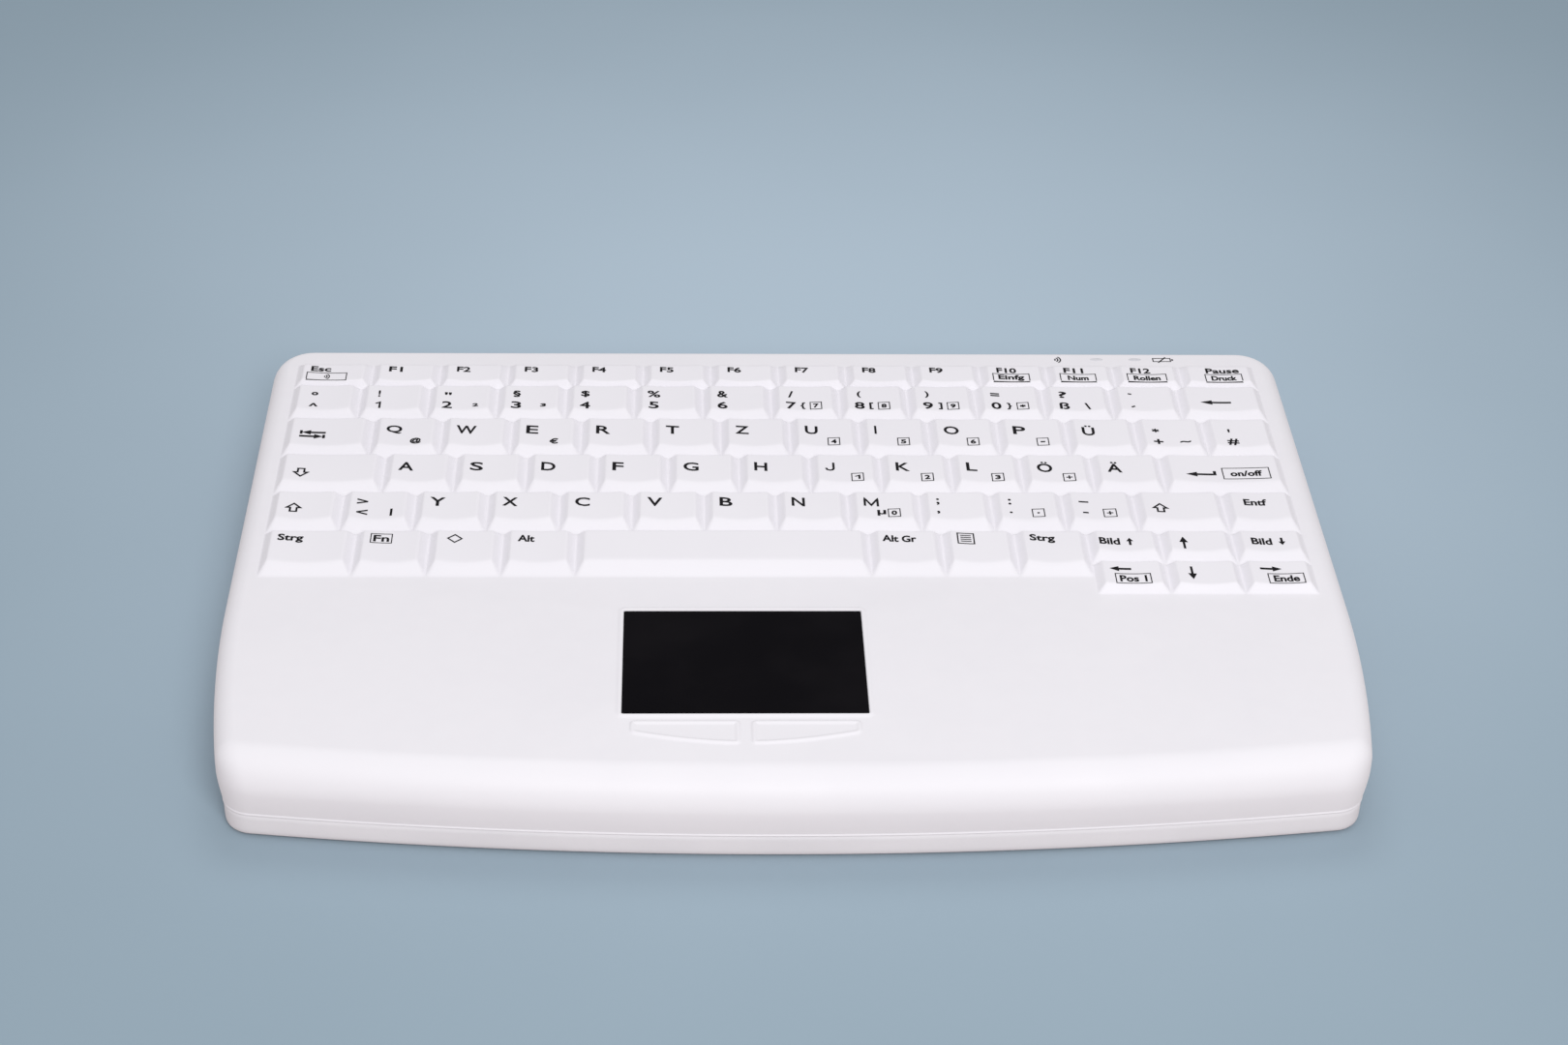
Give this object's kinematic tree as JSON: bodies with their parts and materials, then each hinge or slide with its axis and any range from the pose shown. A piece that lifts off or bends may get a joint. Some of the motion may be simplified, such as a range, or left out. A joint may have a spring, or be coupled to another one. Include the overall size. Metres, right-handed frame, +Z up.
{
  "type": "computer keyboard",
  "caption": "Compact sealed keyboard under a soft wipeable skin, with a touchpad and two pad buttons set in a deep palm rest.",
  "frame": {"origin": "middle of the keyboard's outline on the table, under its rubber feet", "axes": "+X along the rows of keys to the right, +Y from the user to the rear edge, +Z up"},
  "size_m": [0.2848, 0.2028, 0.0263],
  "materials": {
    "skin_silicone": "soft satin silicone",
    "key_silicone": "soft satin silicone over a hard cap",
    "housing_plastic": "moulded, fine matt",
    "base_plastic": "moulded, fine matt",
    "guide_plastic": "moulded, plain",
    "dome_rubber": "milky silicone",
    "printed_film": "clear film with printed tracks",
    "backing_steel": "zinc coated sheet",
    "pad_black": "fine matt black",
    "circuit_board": "lacquered laminate",
    "flat_cable": "film",
    "clear_plastic": "clear polished",
    "cell_jacket": "plain printed sleeve",
    "contact_metal": "nickel plated",
    "seal_rubber": "soft foam rubber",
    "screw_steel": "zinc plated",
    "foot_rubber": "matt grey"
  },
  "bodies": {
    "housing": {"backing_plate": "backing_steel", "battery_cells": "cell_jacket", "battery_contacts": "contact_metal", "battery_door": "base_plastic", "bottom_housing": "base_plastic", "button_board": "circuit_board", "contact_membrane": "printed_film", "controller_board": "circuit_board", "cover_skin": "skin_silicone", "dome_mat": "dome_rubber", "door_screws": "screw_steel", "door_seal": "seal_rubber", "housing_screws": "screw_steel", "key_guide_plate": "guide_plastic", "membrane_tail": "flat_cable", "rubber_feet": "foot_rubber", "status_light_pipes": "clear_plastic", "touchpad_board": "circuit_board", "touchpad_cable": "flat_cable", "touchpad_surface": "pad_black", "upper_housing": "housing_plastic"},
    "function_keys": {"function_keys": "key_silicone"},
    "number_keys": {"number_keys": "key_silicone"},
    "sign_keys": {"sign_keys": "key_silicone"},
    "tab_and_caps_keys": {"tab_and_caps_keys": "key_silicone"},
    "modifier_keys": {"modifier_keys": "key_silicone"},
    "navigation_keys": {"navigation_keys": "key_silicone"},
    "key_a": {"key_a": "key_silicone"},
    "key_b": {"key_b": "key_silicone"},
    "key_c": {"key_c": "key_silicone"},
    "key_d": {"key_d": "key_silicone"},
    "key_e": {"key_e": "key_silicone"},
    "key_f": {"key_f": "key_silicone"},
    "key_g": {"key_g": "key_silicone"},
    "key_h": {"key_h": "key_silicone"},
    "key_i": {"key_i": "key_silicone"},
    "key_j": {"key_j": "key_silicone"},
    "key_k": {"key_k": "key_silicone"},
    "key_l": {"key_l": "key_silicone"},
    "key_m": {"key_m": "key_silicone"},
    "key_n": {"key_n": "key_silicone"},
    "key_o": {"key_o": "key_silicone"},
    "key_p": {"key_p": "key_silicone"},
    "key_q": {"key_q": "key_silicone"},
    "key_r": {"key_r": "key_silicone"},
    "key_s": {"key_s": "key_silicone"},
    "key_t": {"key_t": "key_silicone"},
    "key_u": {"key_u": "key_silicone"},
    "key_v": {"key_v": "key_silicone"},
    "key_w": {"key_w": "key_silicone"},
    "key_x": {"key_x": "key_silicone"},
    "key_y": {"key_y": "key_silicone"},
    "key_z": {"key_z": "key_silicone"},
    "space_bar": {"space_bar": "key_silicone"},
    "enter_key": {"enter_key": "key_silicone"},
    "backspace_key": {"backspace_key": "key_silicone"},
    "left_shift_key": {"left_shift_key": "key_silicone"},
    "right_shift_key": {"right_shift_key": "key_silicone"},
    "pad_button_left": {"pad_button_left": "key_silicone"},
    "pad_button_right": {"pad_button_right": "key_silicone"}
  },
  "joints": [
    {"name": "function_keys_press", "type": "slide", "parent": "housing", "child": "function_keys", "axis": [0, 0, -1], "range_m": [0, 0.002], "stiffness_N_per_m": 220, "springref_m": -0.001},
    {"name": "number_keys_press", "type": "slide", "parent": "housing", "child": "number_keys", "axis": [0, 0, -1], "range_m": [0, 0.002], "stiffness_N_per_m": 220, "springref_m": -0.001},
    {"name": "sign_keys_press", "type": "slide", "parent": "housing", "child": "sign_keys", "axis": [0, 0, -1], "range_m": [0, 0.002], "stiffness_N_per_m": 220, "springref_m": -0.001},
    {"name": "tab_and_caps_keys_press", "type": "slide", "parent": "housing", "child": "tab_and_caps_keys", "axis": [0, 0, -1], "range_m": [0, 0.002], "stiffness_N_per_m": 220, "springref_m": -0.001},
    {"name": "modifier_keys_press", "type": "slide", "parent": "housing", "child": "modifier_keys", "axis": [0, 0, -1], "range_m": [0, 0.002], "stiffness_N_per_m": 220, "springref_m": -0.001},
    {"name": "navigation_keys_press", "type": "slide", "parent": "housing", "child": "navigation_keys", "axis": [0, 0, -1], "range_m": [0, 0.002], "stiffness_N_per_m": 220, "springref_m": -0.001},
    {"name": "key_a_press", "type": "slide", "parent": "housing", "child": "key_a", "axis": [0, 0, -1], "range_m": [0, 0.002], "stiffness_N_per_m": 220, "springref_m": -0.001},
    {"name": "key_b_press", "type": "slide", "parent": "housing", "child": "key_b", "axis": [0, 0, -1], "range_m": [0, 0.002], "stiffness_N_per_m": 220, "springref_m": -0.001},
    {"name": "key_c_press", "type": "slide", "parent": "housing", "child": "key_c", "axis": [0, 0, -1], "range_m": [0, 0.002], "stiffness_N_per_m": 220, "springref_m": -0.001},
    {"name": "key_d_press", "type": "slide", "parent": "housing", "child": "key_d", "axis": [0, 0, -1], "range_m": [0, 0.002], "stiffness_N_per_m": 220, "springref_m": -0.001},
    {"name": "key_e_press", "type": "slide", "parent": "housing", "child": "key_e", "axis": [0, 0, -1], "range_m": [0, 0.002], "stiffness_N_per_m": 220, "springref_m": -0.001},
    {"name": "key_f_press", "type": "slide", "parent": "housing", "child": "key_f", "axis": [0, 0, -1], "range_m": [0, 0.002], "stiffness_N_per_m": 220, "springref_m": -0.001},
    {"name": "key_g_press", "type": "slide", "parent": "housing", "child": "key_g", "axis": [0, 0, -1], "range_m": [0, 0.002], "stiffness_N_per_m": 220, "springref_m": -0.001, "deforming": ["dome_mat"]},
    {"name": "key_h_press", "type": "slide", "parent": "housing", "child": "key_h", "axis": [0, 0, -1], "range_m": [0, 0.002], "stiffness_N_per_m": 220, "springref_m": -0.001},
    {"name": "key_i_press", "type": "slide", "parent": "housing", "child": "key_i", "axis": [0, 0, -1], "range_m": [0, 0.002], "stiffness_N_per_m": 220, "springref_m": -0.001},
    {"name": "key_j_press", "type": "slide", "parent": "housing", "child": "key_j", "axis": [0, 0, -1], "range_m": [0, 0.002], "stiffness_N_per_m": 220, "springref_m": -0.001},
    {"name": "key_k_press", "type": "slide", "parent": "housing", "child": "key_k", "axis": [0, 0, -1], "range_m": [0, 0.002], "stiffness_N_per_m": 220, "springref_m": -0.001},
    {"name": "key_l_press", "type": "slide", "parent": "housing", "child": "key_l", "axis": [0, 0, -1], "range_m": [0, 0.002], "stiffness_N_per_m": 220, "springref_m": -0.001},
    {"name": "key_m_press", "type": "slide", "parent": "housing", "child": "key_m", "axis": [0, 0, -1], "range_m": [0, 0.002], "stiffness_N_per_m": 220, "springref_m": -0.001},
    {"name": "key_n_press", "type": "slide", "parent": "housing", "child": "key_n", "axis": [0, 0, -1], "range_m": [0, 0.002], "stiffness_N_per_m": 220, "springref_m": -0.001},
    {"name": "key_o_press", "type": "slide", "parent": "housing", "child": "key_o", "axis": [0, 0, -1], "range_m": [0, 0.002], "stiffness_N_per_m": 220, "springref_m": -0.001},
    {"name": "key_p_press", "type": "slide", "parent": "housing", "child": "key_p", "axis": [0, 0, -1], "range_m": [0, 0.002], "stiffness_N_per_m": 220, "springref_m": -0.001},
    {"name": "key_q_press", "type": "slide", "parent": "housing", "child": "key_q", "axis": [0, 0, -1], "range_m": [0, 0.002], "stiffness_N_per_m": 220, "springref_m": -0.001},
    {"name": "key_r_press", "type": "slide", "parent": "housing", "child": "key_r", "axis": [0, 0, -1], "range_m": [0, 0.002], "stiffness_N_per_m": 220, "springref_m": -0.001},
    {"name": "key_s_press", "type": "slide", "parent": "housing", "child": "key_s", "axis": [0, 0, -1], "range_m": [0, 0.002], "stiffness_N_per_m": 220, "springref_m": -0.001},
    {"name": "key_t_press", "type": "slide", "parent": "housing", "child": "key_t", "axis": [0, 0, -1], "range_m": [0, 0.002], "stiffness_N_per_m": 220, "springref_m": -0.001},
    {"name": "key_u_press", "type": "slide", "parent": "housing", "child": "key_u", "axis": [0, 0, -1], "range_m": [0, 0.002], "stiffness_N_per_m": 220, "springref_m": -0.001},
    {"name": "key_v_press", "type": "slide", "parent": "housing", "child": "key_v", "axis": [0, 0, -1], "range_m": [0, 0.002], "stiffness_N_per_m": 220, "springref_m": -0.001},
    {"name": "key_w_press", "type": "slide", "parent": "housing", "child": "key_w", "axis": [0, 0, -1], "range_m": [0, 0.002], "stiffness_N_per_m": 220, "springref_m": -0.001},
    {"name": "key_x_press", "type": "slide", "parent": "housing", "child": "key_x", "axis": [0, 0, -1], "range_m": [0, 0.002], "stiffness_N_per_m": 220, "springref_m": -0.001},
    {"name": "key_y_press", "type": "slide", "parent": "housing", "child": "key_y", "axis": [0, 0, -1], "range_m": [0, 0.002], "stiffness_N_per_m": 220, "springref_m": -0.001},
    {"name": "key_z_press", "type": "slide", "parent": "housing", "child": "key_z", "axis": [0, 0, -1], "range_m": [0, 0.002], "stiffness_N_per_m": 220, "springref_m": -0.001},
    {"name": "space_bar_press", "type": "slide", "parent": "housing", "child": "space_bar", "axis": [0, 0, -1], "range_m": [0, 0.002], "stiffness_N_per_m": 220, "springref_m": -0.001},
    {"name": "enter_key_press", "type": "slide", "parent": "housing", "child": "enter_key", "axis": [0, 0, -1], "range_m": [0, 0.002], "stiffness_N_per_m": 220, "springref_m": -0.001},
    {"name": "backspace_key_press", "type": "slide", "parent": "housing", "child": "backspace_key", "axis": [0, 0, -1], "range_m": [0, 0.002], "stiffness_N_per_m": 220, "springref_m": -0.001},
    {"name": "left_shift_key_press", "type": "slide", "parent": "housing", "child": "left_shift_key", "axis": [0, 0, -1], "range_m": [0, 0.002], "stiffness_N_per_m": 220, "springref_m": -0.001},
    {"name": "right_shift_key_press", "type": "slide", "parent": "housing", "child": "right_shift_key", "axis": [0, 0, -1], "range_m": [0, 0.002], "stiffness_N_per_m": 220, "springref_m": -0.001},
    {"name": "pad_button_left_press", "type": "slide", "parent": "housing", "child": "pad_button_left", "axis": [0, 0, -1], "range_m": [0, 0.0004], "stiffness_N_per_m": 800, "springref_m": -0.0008},
    {"name": "pad_button_right_press", "type": "slide", "parent": "housing", "child": "pad_button_right", "axis": [0, 0, -1], "range_m": [0, 0.0004], "stiffness_N_per_m": 800, "springref_m": -0.0008}
  ]
}
